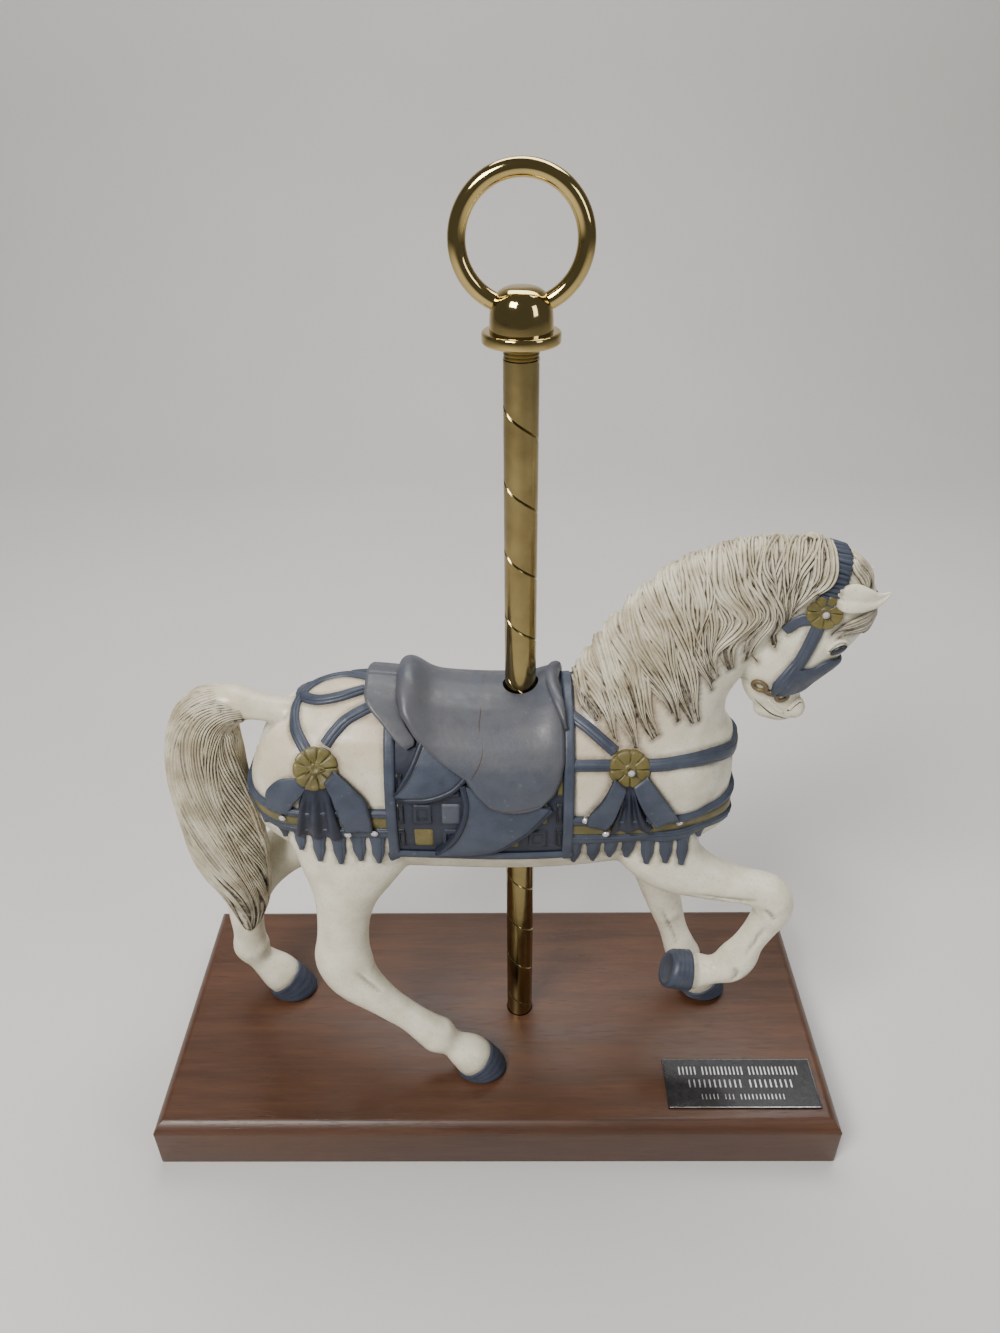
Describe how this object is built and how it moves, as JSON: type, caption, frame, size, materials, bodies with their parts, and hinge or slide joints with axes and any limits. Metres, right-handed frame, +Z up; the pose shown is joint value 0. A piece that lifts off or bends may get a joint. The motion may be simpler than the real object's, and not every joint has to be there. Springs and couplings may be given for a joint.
{
  "type": "carousel horse figurine",
  "caption": "Painted cast carousel horse with saddle and harness, on a brass pole with a ring finial, standing on a moulded walnut base with a nameplate.",
  "frame": {"origin": "centre of the base's footprint, on the surface that it stands on", "axes": "+Z up along the pole, +X the way the horse looks, -Y out of its showier near side"},
  "size_m": [0.324, 0.138, 0.4253],
  "materials": {
    "walnut": "satin",
    "plate": "gloss",
    "pole_brass": "polished",
    "polished_brass": "polished",
    "painted_cream": "satin",
    "clear_stone": "gloss"
  },
  "bodies": {
    "root": {"base": "walnut", "nameplate": "plate", "pole": "pole_brass", "ring_finial": "polished_brass", "horse": "painted_cream", "stone_1": "clear_stone", "stone_2": "clear_stone", "stone_3": "clear_stone", "stone_4": "clear_stone", "stone_5": "clear_stone", "stone_6": "clear_stone", "stone_7": "clear_stone", "stone_8": "clear_stone"}
  },
  "joints": []
}
